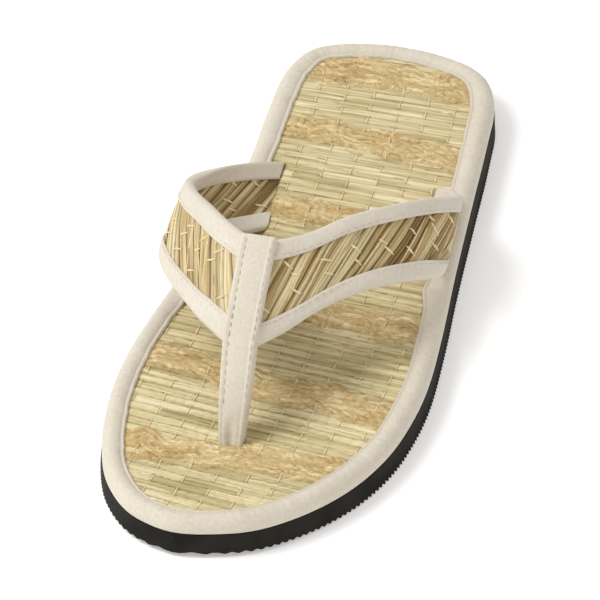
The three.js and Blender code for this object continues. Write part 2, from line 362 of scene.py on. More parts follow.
# Footbed
# A mat of dry rush on a thin board. Flat bundles of stalks lie across the shoe, tied
# by cream twine that runs heel to toe over every other bundle, with bands of husk plait.
bundle_pitch = 3.55 * MM
twine_gap = 9.6 * MM
mat_rise = 0.42 * MM
mat_bow = 0.45
mat_skew = 0.05
mat_twist = 0.6
husk_rows = [
    # place along the shoe at its middle, lean across it, half width
    (-93, 0.03, 6.2),
    (-56, -0.15, 6.4),
    (-17, -0.05, 6.0),
    (33, 0.02, 5.6),
    (75, -0.05, 6.2),
    (112, 0.02, 6.6),
]


def edge_tape_width(y):
    """Width of the cotton edge tape, a little wider at the heel."""
    return (7.0 + 1.4 * (y + sole_length / 2) / sole_length) * MM


def hashed(*indexes):
    """Steady pseudo-random number in 0 to 1 for whole-number indexes."""
    mixed = sum((k + 1.37) * 12.9898 * np.asarray(i, dtype=float) for k, i in enumerate(indexes))
    wave = np.sin(mixed) * 43758.5453
    return wave - np.floor(wave)


def wander(place, seed, reach):
    """Slow irregular sway along a line, in the units of reach."""
    phase = 6.28 * hashed(seed)
    return reach * (np.sin(place * 61 + phase) + 0.6 * np.sin(place * 143 + 2.1 * phase)
                    + 0.35 * np.sin(place * 377 + 3.3 * phase)) / 1.95


def rush_weave(run, step, pitch, stalks, gap, rise):
    """Relief, stalk tone and painted groove shade of rush lying along run and set out along step."""
    lane = step + wander(run, 3, 0.12 * pitch) + wander(step + 0.6 * run, 5, 0.07 * pitch)
    bundle = np.floor(lane / pitch)
    part = lane / pitch - bundle
    float_at = (run / gap + bundle % 2) / 2 + 0.08 * (hashed(bundle, 8) - 0.5)
    float_part = np.floor(float_at)
    tilt = 0.8 * (hashed(bundle, float_part, 21) - 0.5) * (float_at - float_part - 0.5)
    bent = part + (0.5 * tilt + 0.12 * (hashed(bundle, 7) - 0.5)) * np.sin(math.pi * part)
    bent = np.clip(bent, 0, 0.999)
    stalks = stalks - 1 + np.floor(2.99 * hashed(bundle, float_part, 23))
    stalk = np.floor(bent * stalks)
    spot = bent * stalks - stalk
    round_stalk = np.sqrt(np.clip(1 - (2 * spot - 1)**2, 0, 1))
    body = 1 - (2 * part - 1)**4
    height = rise * (0.4 * round_stalk + 0.6 * body)
    height += rise * 0.4 * (hashed(bundle, stalk + 5 * float_part, 2) - 0.5)
    column = np.round(run / gap)
    off = run - column * gap - wander(step, 11, 0.05 * gap)
    over = (bundle + column) % 2 == 0
    pinch = np.exp(-(off / (0.12 * gap))**2)
    height = height * np.where(over, 1 - 0.5 * pinch, 1 + 0.2 * pinch)
    tone = 0.6 * hashed(bundle, stalk + 5 * float_part, 1) + 0.4 * hashed(bundle, float_part, 12)
    # Painted shade: the colour is darkened between the round stalks, in the seams between bundles and
    # where the twine dives under a bundle.
    gap_shade = hashed(bundle, stalk, 15)**3
    seam = 0.3 + 0.5 * hashed(bundle, float_part, 14)
    groove_shade = (1 - round_stalk)**2 * (0.25 + 0.5 * gap_shade) + (1 - body) * seam
    dive = np.exp(-(off / (0.10 * gap))**2) * np.where(over, (2 * part - 1)**4, 0)
    return height, tone, np.clip(groove_shade + 0.9 * dive, 0, 1)


def husk_weave(x, y):
    """Mask, relief, tone and fibre line of the husk plaits that cross the mat."""
    mask, height, knot, flow = (np.zeros_like(x) for _ in range(4))
    for index, (middle, lean, half) in enumerate(husk_rows):
        centre = middle * MM + lean * x + wander(x, index + 20, 1.9 * MM)
        sway = 0.9 * MM * np.sin(x / (4.1 * MM) + wander(x * 2, index + 25, 1.5) + 6 * hashed(index, 3))
        for family in (1, -1):
            off = y - centre + family * sway + wander(x * 6 + y * 3, index + 40 + family, 0.5 * MM)
            lane = off / (2.6 * MM) + 0.31 * family
            strand = np.floor(lane)
            spot = lane - strand
            cut_at = x / (7.5 * MM) + 5 * hashed(strand, index, family + 2) + 0.9 * family * spot
            cut_at = cut_at + wander(x * 3, index + 60 + family, 0.5)
            length = np.floor(cut_at)
            share = cut_at - length
            pick = hashed(strand, length, index + 3 * family)
            bow = np.sqrt(np.clip(4 * share * (1 - share), 0, 1))
            round_strand = np.sqrt(np.clip(1 - (2 * spot - 1)**2, 0, 1))
            reach = half * MM * (0.62 + 0.6 * pick) - np.abs(off)
            inside = smoothstep(-0.7 * MM, 0.7 * MM, reach)
            warped = 4 * np.sin(x * 410 + index) + 3 * np.sin(y * 650 + 2 * index)
            crumple = np.sin(x * 930 + y * 1410 + warped)
            level = inside * (0.2 + round_strand * bow * (0.4 + 0.6 * pick) + 0.07 * crumple) * 1.3 * MM
            higher = level > height
            mask = np.maximum(mask, inside)
            height = np.where(higher, level, height)
            shade = 0.12 + 0.66 * hashed(length, strand, index + family) + 0.12 * crumple
            knot = np.where(higher, shade, knot)
            flow = np.where(higher, off - 0.25 * family * x + 0.013 * strand, flow)
    return mask, height, knot, flow


def slit_depth(x, y):
    """How far the mat dips where the strap ends and the toe post go in."""
    depth = np.zeros_like(x)
    for last, before in ((0, 1), (-1, -2)):
        ends = 0.86 * strap_rows[last] + 0.14 * strap_rows[before]
        start = np.array([ends[0] + CENTRE_X, ends[1]])
        end = np.array([ends[3] + CENTRE_X, ends[4]])
        run = end - start
        share = np.clip(((x - start[0]) * run[0] + (y - start[1]) * run[1]) / (run @ run), 0, 1)
        away = np.hypot(x - start[0] - share * run[0], y - start[1] - share * run[1])
        depth = np.maximum(depth, 1.3 * MM * (1 - smoothstep(0.9 * MM, 2.7 * MM, away)))
    away = np.hypot((x + 4.6 * MM) / 1.35, y + 84.6 * MM)
    return np.maximum(depth, 2.0 * MM * (1 - smoothstep(2.3 * MM, 3.5 * MM, away)))


def mat_lay(x, y):
    """Places along and across the bundles of the mat, which was laid a little askew."""
    return x + mat_bow * y**2, y + x * (mat_skew - mat_twist * y)


def mat_relief(x, y):
    """Height of the woven mat over its board, with what colours it and its painted shade."""
    run, lane = mat_lay(x, y)
    height, tone, groove_shade = rush_weave(run, lane, bundle_pitch, 3, twine_gap, mat_rise)
    mask, husk, knot, flow = husk_weave(x, y)
    height = height * (1 - mask) + (husk + 0.1 * MM) * mask
    tone = (0.06 + 0.86 * tone) * (1 - mask) + knot * mask
    # Painted shade in the low parts of the husk plaits.
    groove_shade = 0.9 * groove_shade * (1 - mask) + mask * np.clip(1.05 - husk / (0.6 * MM), 0, 1)
    step = np.where(mask > 0.5, flow, lane)
    # Painted shadow in the dips of the strap slits and the toe post hole, as dark as they are deep.
    dip = slit_depth(x, y)
    return height - dip, tone, np.maximum(groove_shade, dip / (2.2 * MM)), mask, step


board_inset = 1.9 * MM
mat_y = stations(board_inset, 0.44 * MM)
mat_inner, mat_outer = sole_sides(mat_y, board_inset)
across_share = np.concatenate([
    [0, 0.004, 0.012], np.linspace(0.024, 0.976, 138), [0.988, 0.996, 1]])
top_x = mat_inner[:, None] + (mat_outer - mat_inner)[:, None] * across_share
top_y = np.repeat(mat_y[:, None], len(across_share), axis=1)
relief, tone, groove_shade, husk, top_step = mat_relief(top_x, top_y)
from_tips = np.minimum(mat_y - mat_y[0], mat_y[-1] - mat_y)[:, None]
from_sides = np.minimum(top_x - mat_inner[:, None], mat_outer[:, None] - top_x)
from_rim = np.minimum(from_sides, from_tips)
shown = smoothstep(3.2 * MM, 6.2 * MM, from_rim)
relief = np.minimum(relief, 0.45 * MM + 1.4 * MM * smoothstep(6.4 * MM, 10 * MM, from_rim))
rim_drop = (1 - smoothstep(0, 3 * MM, from_rim)) * 2.0 * MM
mat_sink = 0.35 * MM
top_z = mat_top(top_y) - mat_sink + relief * shown - rim_drop
base = foam_top(mat_y)[:, None] + 0.2 * MM
base_share = np.array([1.0, 0.75, 0.5, 0.25, 0.0, 0.0])
base_x = mat_inner[:, None] + (mat_outer - mat_inner)[:, None] * base_share
base_y = np.repeat(mat_y[:, None], len(base_share), axis=1)
base_z = np.repeat(base, len(base_share), axis=1)
base_z[:, -1] = top_z[:, 0]
mat_points = np.stack([
    np.hstack([top_x, base_x]), np.hstack([top_y, base_y]), np.hstack([top_z, base_z])], axis=2)
footbed = laid("rush_footbed", mat_points)


def weave_marks(piece, columns, tone, groove_shade, husk, run, step):
    """Stores a woven piece's tone, painted groove shade, husk and weave coordinates by point."""
    def padded(values):
        extra = columns - values.shape[1]
        return np.hstack([values, np.repeat(values[:, :1], extra, axis=1)])
    for name, values in (("tone", tone), ("groove_shade", groove_shade), ("husk", husk),
                         ("run", run), ("step", step)):
        add_attribute(piece, name, padded(values))


weave_marks(footbed, mat_points.shape[1], tone, groove_shade, husk, mat_lay(top_x, top_y)[0], top_step)
weld(footbed)
smooth(footbed, 70)
fit_out(footbed, "rush_mat", "footbed")


def rush_material(name, stalk_stops):
    """Dry rush with fibres along its stalks, husk where marked, and painted shade in its grooves."""
    material, shader, link, node = new_material(name, 0.62)
    shader.inputs["Specular IOR Level"].default_value = 0.3
    run = node("ShaderNodeAttribute", attribute_name="run")
    step = node("ShaderNodeAttribute", attribute_name="step")
    tone_at = node("ShaderNodeAttribute", attribute_name="tone")
    groove_shade_at = node("ShaderNodeAttribute", attribute_name="groove_shade")
    husk_at = node("ShaderNodeAttribute", attribute_name="husk")
    weave_at = node("ShaderNodeCombineXYZ")
    link(run.outputs["Fac"], weave_at.inputs["X"])
    link(step.outputs["Fac"], weave_at.inputs["Y"])
    link(tone_at.outputs["Fac"], weave_at.inputs["Z"])
    streak_map = node("ShaderNodeMapping")
    streak_map.inputs["Scale"].default_value = (34, 1250, 9)
    link(weave_at.outputs["Vector"], streak_map.inputs["Vector"])
    streak = node("ShaderNodeTexNoise", Scale=1.0, Detail=5.0, Roughness=0.68)
    link(streak_map.outputs["Vector"], streak.inputs["Vector"])
    patch_map = node("ShaderNodeMapping")
    patch_map.inputs["Scale"].default_value = (30, 110, 4)
    link(weave_at.outputs["Vector"], patch_map.inputs["Vector"])
    patch = node("ShaderNodeTexNoise", Scale=1.0, Detail=3.0, Roughness=0.55)
    link(patch_map.outputs["Vector"], patch.inputs["Vector"])
    tone_mix = node("ShaderNodeMath", operation="MULTIPLY_ADD")
    tone_mix.inputs[1].default_value = 0.5
    link(tone_at.outputs["Fac"], tone_mix.inputs[0])
    patch_part = node("ShaderNodeMath", operation="MULTIPLY_ADD")
    patch_part.inputs[1].default_value = 0.75
    patch_part.inputs[2].default_value = -0.12
    link(patch.outputs["Fac"], patch_part.inputs[0])
    link(patch_part.outputs["Value"], tone_mix.inputs[2])
    stalk_tone = ramp(node, stalk_stops)
    link(tone_mix.outputs["Value"], stalk_tone.inputs["Fac"])
    husk_tone = ramp(node, [
        (0.06, tint(140, 106, 60)), (0.3, tint(193, 164, 112)),
        (0.58, tint(218, 197, 151)), (0.85, tint(238, 223, 188))])
    link(tone_mix.outputs["Value"], husk_tone.inputs["Fac"])
    kind = node("ShaderNodeMix", data_type="RGBA")
    link(husk_at.outputs["Fac"], kind.inputs[0])
    link(stalk_tone.outputs["Color"], kind.inputs[6])
    link(husk_tone.outputs["Color"], kind.inputs[7])
    fibre_shade = ramp(node, [
        (0.34, (0.50, 0.46, 0.34, 1)), (0.47, (0.92, 0.91, 0.86, 1)), (0.66, (1.2, 1.19, 1.16, 1))])
    link(streak.outputs["Fac"], fibre_shade.inputs["Fac"])
    fibred = node("ShaderNodeMix", data_type="RGBA", blend_type="MULTIPLY")
    fibred.inputs[0].default_value = 0.92
    link(kind.outputs[2], fibred.inputs[6])
    link(fibre_shade.outputs["Color"], fibred.inputs[7])
    # Painted shade: the colour is multiplied down towards dark brown by the groove mark.
    groove_shaded = node("ShaderNodeMix", data_type="RGBA", blend_type="MULTIPLY")
    groove_shaded.inputs[7].default_value = (0.40, 0.32, 0.20, 1)
    link(groove_shade_at.outputs["Fac"], groove_shaded.inputs[0])
    link(fibred.outputs[2], groove_shaded.inputs[6])
    link(groove_shaded.outputs[2], shader.inputs["Base Color"])
    fibre = node("ShaderNodeBump", Strength=0.55, Distance=0.00035)
    link(streak.outputs["Fac"], fibre.inputs["Height"])
    link(fibre.outputs["Normal"], shader.inputs["Normal"])
    return material


footbed.data.materials.append(rush_material("dry_rush", [
    (0.08, tint(146, 132, 88)), (0.33, tint(193, 179, 134)),
    (0.58, tint(224, 211, 171)), (0.88, tint(243, 233, 203))]))


# Twine of the footbed
# Cream twine holds the bundles down. Each stitch goes over one bundle and dives
# under the next, and its neighbours do the opposite.
def stitch_template():
    """Points and faces of one stitch, a slim bead of unit size along Y."""
    bpy.ops.object.select_all(action="DESELECT")
    bpy.ops.mesh.primitive_uv_sphere_add(segments=6, ring_count=8, radius=1)
    bead = bpy.context.object
    points = np.array([vertex.co[:] for vertex in bead.data.vertices])
    faces = [tuple(face.vertices) for face in bead.data.polygons]
    bpy.data.objects.remove(bead, do_unlink=True)
    return points[:, [0, 2, 1]], faces


bead_points, bead_faces = stitch_template()
bead_faces = [face[::-1] for face in bead_faces]


def sewn(name, point_sets):
    """One mesh of many stitches, each with its own copy of the bead."""
    count = len(bead_points)
    points = np.vstack(point_sets)
    faces = [tuple(i + k * count for i in face)
             for k in range(len(point_sets)) for face in bead_faces]
    mesh = bpy.data.meshes.new(name)
    mesh.from_pydata(points.tolist(), [], faces)
    piece = bpy.data.objects.new(name, mesh)
    bpy.context.collection.objects.link(piece)
    weld(piece, 0.0005 * MM)
    smooth(piece, 80)
    return piece


twine_half = 0.29 * MM
twine_sets = []
for column in range(-5, 6):
    for bundle in range(-39, 39):
        if (bundle + column) % 2:
            continue
        lane = (bundle + 0.5) * bundle_pitch
        run = column * twine_gap + float(wander(np.array(lane), 11, 0.05 * twine_gap))
        lane -= float(wander(np.array(run), 3, 0.12 * bundle_pitch))
        x, y = run, lane
        for _ in range(3):
            x = run - mat_bow * y**2
            y = (lane - mat_skew * x) / (1 - mat_twist * x)
        inner, outer = sole_sides(np.array([y]), edge_tape_width(y) - 0.6 * MM)
        if not inner[0] < x < outer[0] or slit_depth(np.array([x]), np.array([y]))[0] > 0:
            continue
        if husk_weave(np.array([x]), np.array([y]))[0][0] > 0.4:
            if hashed(column, bundle, 9) > 0.35:
                continue
        lean = 0.10 * (hashed(column, bundle, 4) - 0.5) - 0.9 * y
        half = bundle_pitch * (0.6 + 0.14 * hashed(column, bundle, 6))
        along = bead_points[:, 1]
        px = x + lean * along * half + bead_points[:, 0] * twine_half * 0.95
        py = y + along * half
        spine = mat_relief(np.full(len(px), x), y + along * half)[0]
        bed = mat_top(py) - mat_sink + spine
        pz = bed + 0.12 * MM + bead_points[:, 2] * twine_half * 0.9
        twine_sets.append(np.column_stack([px, py, pz]))
mat_twine = sewn("footbed_twine", twine_sets)
fit_out(mat_twine, "rush_mat")

twine, shader, link, node = new_material("cream_twine", 0.8)
place = node("ShaderNodeTexCoord")
ply = node("ShaderNodeTexNoise", Scale=900.0, Detail=2.0)
link(place.outputs["Object"], ply.inputs["Vector"])
twine_tone = ramp(node, [(0.3, tint(206, 188, 142)), (0.7, tint(238, 223, 184))])
link(ply.outputs["Fac"], twine_tone.inputs["Fac"])
link(twine_tone.outputs["Color"], shader.inputs["Base Color"])
ply_bump = node("ShaderNodeBump", Strength=0.4, Distance=0.0002)
link(ply.outputs["Fac"], ply_bump.inputs["Height"])
link(ply_bump.outputs["Normal"], shader.inputs["Normal"])
mat_twine.data.materials.append(twine)


# Edge tape
# Cream cotton tape rolled over the rim of the footbed. Its inner edge lies on the mat,
# it turns down outside to the foam, and it puckers a little on the curves.
section_width = 8.4 * MM
tape_section = np.array([
    # inset from the sole's edge at the section's width, height over the mat
    (8.4, -0.3), (8.55, 0.2), (8.5, 0.65), (8.2, 1.0), (7.75, 1.1), (7.4, 0.95), (7.1, 0.98),
    (6.7, 1.3), (5.9, 1.7), (5.0, 1.95), (4.0, 2.0), (3.0, 1.8), (1.9, 1.15), (1.0, 0.25),
    (0.4, -0.8), (0.12, -1.9), (0.1, -2.7), (0.25, -3.35), (1.0, -3.4), (1.5, -2.8),
    (1.55, -1.8), (2.0, -0.7), (3.0, 0.1), (5.0, 0.4), (7.0, 0.2), (8.0, -0.2),
]) * MM
tape_around = np.linspace(0, edge_from_toe[-1], 1300)
section_path = rounded_path(tape_section, 2, closed=True)
section_path = np.vstack([section_path, section_path[:1]])
round_at = np.repeat(tape_around[:, None], len(section_path), axis=1)
tape_inset = np.repeat(section_path[None, :, 0], len(tape_around), axis=0)
tape_over = np.repeat(section_path[None, :, 1], len(tape_around), axis=0)
full_turn = 2 * math.pi / edge_from_toe[-1]


def pucker(place):
    """Small uneven swelling of the tape round the shoe, the same where it closes."""
    waves = ((7, 0.4, 0.5), (19, 1.9, 0.6), (41, 0.3, 0.55), (67, 2.4, 0.45),
             (103, 4.0, 0.35), (173, 1.1, 0.3), (241, 0.6, 0.22))
    return sum(size * np.sin(place * full_turn * turns + phase) for turns, phase, size in waves)


crown_share = np.clip(tape_over / (2 * MM), 0, 1)
tape_over = tape_over + crown_share * 0.16 * MM * pucker(round_at)
lip_share = smoothstep(5 * MM, 8 * MM, tape_inset)
tape_inset = tape_inset + 0.10 * MM * pucker(round_at + 0.31) * lip_share
rim_x, rim_y = sole_edge(round_at, 0)
tape_inset = tape_inset * edge_tape_width(rim_y) / section_width
for rim_side, fold_at in ((1, 2), (-1, -17)):
    near = np.exp(-((rim_y - fold_at * MM) / (5.5 * MM))**2) * (rim_side * rim_x > 0)
    free = smoothstep(3.6 * MM, 7.4 * MM, tape_inset)
    ripple = 0.65 + 0.35 * np.sin((rim_y - fold_at * MM) / (1.5 * MM) + tape_inset / (1.6 * MM))
    tape_over = tape_over + 2.0 * MM * near * free * ripple
    tape_inset = tape_inset + 1.3 * MM * near * free
tape_x, tape_y = sole_edge(round_at, tape_inset)
tape_points = np.stack([tape_x, tape_y, mat_top(tape_y) + tape_over], axis=2)
edge_tape = laid("edge_tape_cotton", tape_points)
add_attribute(edge_tape, "run", round_at)
section_step = np.linspace(0, 26 * MM, len(section_path))
add_attribute(edge_tape, "step", np.repeat(section_step[None], len(tape_around), axis=0))
weld(edge_tape)
smooth(edge_tape, 70)
fit_out(edge_tape, "edge_cotton", "edge_tape")


def cotton_weave():
    """Shader group: plain-weave threads and the uneven tone of washed cotton."""
    tree = bpy.data.node_groups.new("cotton_weave", "ShaderNodeTree")
    tree.interface.new_socket("Run", in_out="INPUT", socket_type="NodeSocketFloat")
    tree.interface.new_socket("Step", in_out="INPUT", socket_type="NodeSocketFloat")
    tree.interface.new_socket("Light", in_out="INPUT", socket_type="NodeSocketColor")
    tree.interface.new_socket("Shade", in_out="INPUT", socket_type="NodeSocketColor")
    tree.interface.new_socket("Color", in_out="OUTPUT", socket_type="NodeSocketColor")
    tree.interface.new_socket("Height", in_out="OUTPUT", socket_type="NodeSocketFloat")
    enter = tree.nodes.new("NodeGroupInput")
    leave = tree.nodes.new("NodeGroupOutput")
    link, node = tree.links.new, node_maker(tree)

    def thread(socket, pitch):
        scaled = node("ShaderNodeMath", operation="MULTIPLY")
        scaled.inputs[1].default_value = 2 * math.pi / pitch
        link(enter.outputs[socket], scaled.inputs[0])
        wave = node("ShaderNodeMath", operation="SINE")
        link(scaled.outputs["Value"], wave.inputs[0])
        return wave

    warp, weft = thread("Run", 0.62 * MM), thread("Step", 0.62 * MM)
    crossing = node("ShaderNodeMath", operation="MULTIPLY")
    link(warp.outputs["Value"], crossing.inputs[0])
    link(weft.outputs["Value"], crossing.inputs[1])
    spot = node("ShaderNodeCombineXYZ")
    link(enter.outputs["Run"], spot.inputs["X"])
    link(enter.outputs["Step"], spot.inputs["Y"])
    slub = node("ShaderNodeTexNoise", Scale=900.0, Detail=3.0, Roughness=0.6)
    link(spot.outputs["Vector"], slub.inputs["Vector"])
    stain = node("ShaderNodeTexNoise", Scale=60.0, Detail=4.0, Roughness=0.6)
    link(spot.outputs["Vector"], stain.inputs["Vector"])
    both = node("ShaderNodeMath", operation="MULTIPLY_ADD")
    both.inputs[1].default_value = 0.55
    link(slub.outputs["Fac"], both.inputs[0])
    half = node("ShaderNodeMath", operation="MULTIPLY")
    half.inputs[1].default_value = 0.3
    link(stain.outputs["Fac"], half.inputs[0])
    link(half.outputs["Value"], both.inputs[2])
    spread = node("ShaderNodeMapRange")
    spread.inputs["From Min"].default_value = 0.3
    spread.inputs["From Max"].default_value = 0.55
    link(both.outputs["Value"], spread.inputs["Value"])
    mixed = node("ShaderNodeMix", data_type="RGBA")
    link(spread.outputs["Result"], mixed.inputs[0])
    link(enter.outputs["Shade"], mixed.inputs[6])
    link(enter.outputs["Light"], mixed.inputs[7])
    link(mixed.outputs[2], leave.inputs["Color"])
    raised = node("ShaderNodeMath", operation="MULTIPLY_ADD")
    raised.inputs[1].default_value = 0.3
    link(crossing.outputs["Value"], raised.inputs[0])
    link(slub.outputs["Fac"], raised.inputs[2])
    link(raised.outputs["Value"], leave.inputs["Height"])
    return tree


cotton_group = cotton_weave()


def cotton_material(name, light, shade):
    """Cream cotton of one piece, with the weave laid along that piece."""
    material, shader, link, node = new_material(name, 0.88)
    shader.inputs["Specular IOR Level"].default_value = 0.2
    shader.inputs["Sheen Weight"].default_value = 0.15
    run = node("ShaderNodeAttribute", attribute_name="run")
    step = node("ShaderNodeAttribute", attribute_name="step")
    weave = node("ShaderNodeGroup", node_tree=cotton_group)
    weave.inputs["Light"].default_value = light
    weave.inputs["Shade"].default_value = shade
    link(run.outputs["Fac"], weave.inputs["Run"])
    link(step.outputs["Fac"], weave.inputs["Step"])
    link(weave.outputs["Color"], shader.inputs["Base Color"])
    bump = node("ShaderNodeBump", Strength=0.5, Distance=0.00025)
    link(weave.outputs["Height"], bump.inputs["Height"])
    link(bump.outputs["Normal"], shader.inputs["Normal"])
    return material


edge_tape.data.materials.append(
    cotton_material("edge_cotton", tint(220, 212, 198), tint(206, 197, 180)))


# Straps
# Both straps are strips of rush mat with the stalks running from edge to edge,
# joined above the toe post. Their cut edges are hidden under folded cotton tape.
strap_wall = 2 * MM
strap_margin = 1.4 * MM
strap_pitch = 4.4 * MM
strap_gap = 6.8 * MM
strap_rise = 0.8 * MM
strap_lean = 0.34
stalk_reach = 40 * MM
strap_sink = 0.35 * MM
mid_line = (strap_front + strap_rear) / 2
across_line = strap_rear - strap_front
across_line /= np.linalg.norm(across_line, axis=1)[:, None]
mid_step = np.diff(mid_line, axis=0)
sideways = mid_step - across_line[:-1] * np.sum(mid_step * across_line[:-1], axis=1)[:, None]
strap_length = np.concatenate([[0], np.cumsum(np.linalg.norm(sideways, axis=1))])


def strap_step(along):
    """Distance along the strap, square to its stalks."""
    return np.interp(along, strap_share, strap_length)


strap_along = np.linspace(0, 1, 780)
face_share = np.linspace(0, 1, 52)
loop_share = np.concatenate([face_share, face_share[::-1], face_share[:1]])
loop_side = np.concatenate([np.ones(52), -np.ones(52), np.ones(1)])
along_grid = np.repeat(strap_along[:, None], len(loop_share), axis=1)
strap_width = strap_station(strap_along)[1]
from_front = strap_margin + (strap_width - 2 * strap_margin) * loop_share


def stalk_lane(steps, places, lean):
    """Place square to the strap's leaning stalks, which are uneven in width."""
    lane = steps - lean * places
    lane = lane + 1.0 * MM * np.sin(lane / (2.3 * MM)) + 0.8 * MM * np.sin(lane / (4.1 * MM) + 1)
    return lane + wander(places * 0.8 + lane, 17, 0.7 * MM)


lean = np.where(along_grid > 0.5, strap_lean, -strap_lean)
strap_lane = stalk_lane(strap_step(along_grid), from_front - strap_width / 2, lean)
strap_relief, tone, groove_shade = rush_weave(
    from_front, strap_lane, strap_pitch, 3, stalk_reach, strap_rise)
# Painted shade: the outer strap (past the middle of the band) is toned 0.28 darker, the strap's second
# face 0.2 darker, and the groove shade is strengthened.
tone = 1.6 * tone - 0.31 - 0.28 * (along_grid > 0.5) - 0.2 * (loop_side < 0)
groove_shade = np.clip(1.6 * groove_shade, 0, 1)
edge_ease = smoothstep(0, 0.03, np.minimum(loop_share, 1 - loop_share))
strap_over = loop_side * (strap_wall / 2 - strap_sink + strap_relief * edge_ease)
strap_points = strap_point(along_grid, from_front, strap_over)
strap_ends = strap_points[[0, -1]].mean(axis=1)
strap_points[0], strap_points[-1] = strap_ends[0], strap_ends[1]
straps = laid("rush_straps", strap_points)
weave_marks(straps, len(loop_share), tone, groove_shade, np.zeros_like(tone), from_front, strap_lane)
weld(straps)
smooth(straps, 70)
fit_out(straps, "strap_rush", "upper_straps")
straps.data.materials.append(rush_material("strap_rush", [
    (0.08, tint(128, 98, 56)), (0.34, tint(182, 156, 108)),
    (0.62, tint(217, 203, 165)), (0.9, tint(240, 230, 202))]))

strap_sets = []
bead_along = bead_points[:, 1]
for side in (1, -1):
    for bundle in range(0, int(strap_length[-1] / strap_pitch)):
        middle = (bundle + 0.5) * strap_pitch
        at_share = np.interp(middle, strap_length, strap_share)
        width = strap_station(np.array([at_share]))[1][0, 0]
        outer_half = at_share > 0.5
        slope, stitch_slope = (strap_lean, -1.05) if outer_half else (-strap_lean, 0.8)
        for column in range(1, int(width / strap_gap) + 1):
            if (bundle + column) % 2 or hashed(bundle, column, side) < 0.2:
                continue
            run_at = column * strap_gap + 3 * MM * (hashed(bundle, column, 16) - 0.5)
            if not 9 * MM < run_at < width - 9 * MM:
                continue
            half = strap_pitch * (0.36 + 0.2 * hashed(bundle, column, 5))
            turned = stitch_slope + 0.6 * (hashed(bundle, column) - 0.5)
            places = run_at + bead_points[:, 0] * twine_half * 1.5 + turned * bead_along * half
            steps = middle + slope * (run_at - width / 2) + bead_along * half
            shares = np.interp(steps, strap_length, strap_share)
            lanes = stalk_lane(steps, places - width / 2, slope)
            bed = rush_weave(places, lanes, strap_pitch, 3, stalk_reach, strap_rise)[0]
            bed = strap_wall / 2 - strap_sink + np.maximum(bed, 0.55 * MM)
            over = bed + 0.16 * MM + bead_points[:, 2] * twine_half * 1.3
            strap_sets.append(strap_point(shares, places, side * over))
for straw in range(34):
    at_share = (0.12 if straw % 2 else 0.56) + 0.32 * hashed(straw, 1)
    width = strap_station(np.array([at_share]))[1][0, 0]
    slope = (-strap_lean if straw % 2 else strap_lean) + 0.5 * (hashed(straw, 2) - 0.5)
    half = (5 + 6 * hashed(straw, 3)) * MM
    middle = width / 2 + (width / 2 - 7 * MM - half) * (2 * hashed(straw, 4) - 1)
    places = middle + bead_along * half
    steps = strap_step(at_share) + slope * (places - width / 2) + bead_points[:, 0] * 0.3 * MM
    shares = np.interp(steps, strap_length, strap_share)
    over = strap_wall / 2 + 0.34 * MM + bead_points[:, 2] * 0.25 * MM
    strap_sets.append(strap_point(shares, places, over))
strap_twine = sewn("strap_twine", strap_sets)
fit_out(strap_twine, "strap_rush")
strap_twine.data.materials.append(twine)


# Strap tapes
# Cotton tape folded over the long edges of each strap and sewn through, so that both
# faces show a plain cream border. The tapes go down into the slits with the strap.
fold_section = np.array([
    # distance in from the strap's edge at a width of 10, height over its mid surface
    (10.0, 1.55), (9.6, 2.0), (8.0, 2.15), (5.0, 2.2), (2.2, 2.1), (0.8, 1.65), (0.15, 0.8),
    (0.0, 0.0), (0.15, -0.8), (0.8, -1.65), (2.2, -2.1), (5.0, -2.2), (8.0, -2.15),
    (9.6, -2.0), (10.0, -1.55), (9.0, -1.35), (5.0, -1.3), (1.6, -1.1), (1.1, 0.0),
    (1.6, 1.1), (5.0, 1.3), (9.0, 1.35),
]) * MM
fold_path = rounded_path(fold_section, 2, closed=True)
fold_path = np.vstack([fold_path, fold_path[:1]])


def strap_tape(name, node, start, end, on_rear, tape_width, seed):
    """One folded tape, drawn shut at both hidden ends."""
    along = np.repeat(np.linspace(start, end, 220)[:, None], len(fold_path), axis=1)
    inward = np.repeat(fold_path[None, :, 0], len(along), axis=0)
    over = np.repeat(fold_path[None, :, 1], len(along), axis=0)
    step = strap_step(along)
    sway = wander(step * 0.8, seed, 0.22 * MM) + wander(step * 2.4, seed + 1, 0.10 * MM)
    inward = inward + sway * smoothstep(7 * MM, 9.5 * MM, inward)
    over = over + np.sign(over) * 0.16 * MM * wander(step * 2 + inward, seed + 2, 1)
    over = over + np.sign(over) * 0.07 * MM * wander(step * 5 - 3 * inward, seed + 3, 1)
    inward = inward * tape_width / 10
    width = strap_station(along[:, 0])[1]
    from_front = width - inward if on_rear else inward
    points = strap_point(along, from_front, over)
    ends = points[[0, -1]].mean(axis=1)
    points[0], points[-1] = ends[0], ends[1]
    piece = laid(name, points)
    add_attribute(piece, "run", step * 1.35)
    fold_step = np.linspace(0, 25 * MM, len(fold_path))
    add_attribute(piece, "step", np.repeat(fold_step[None], len(along), axis=0))
    weld(piece)
    smooth(piece, 70)
    fit_out(piece, "strap_cotton", node)
    return piece


strap_cotton = cotton_material("strap_cotton", tint(222, 214, 201), tint(208, 199, 183))
tape_rows = [
    # which tape, ends along the straps, ends of its sewing, on the rear edge, width, seed
    ("inner_front", (0, 0.5), (0.13, 0.47), False, 9.4, 31),
    ("inner_rear", (0, 0.5), (0.13, 0.47), True, 9.2, 41),
    ("outer_front", (0.5, 1), (0.53, 0.87), False, 8.0, 51),
    ("outer_rear", (0.5, 1), (0.53, 0.87), True, 7.6, 61),
]
for which, (start, end), _, on_rear, tape_width, seed in tape_rows:
    piece = strap_tape("cotton_" + which, "tape_" + which, start, end, on_rear, tape_width, seed)
    piece.data.materials.append(strap_cotton)

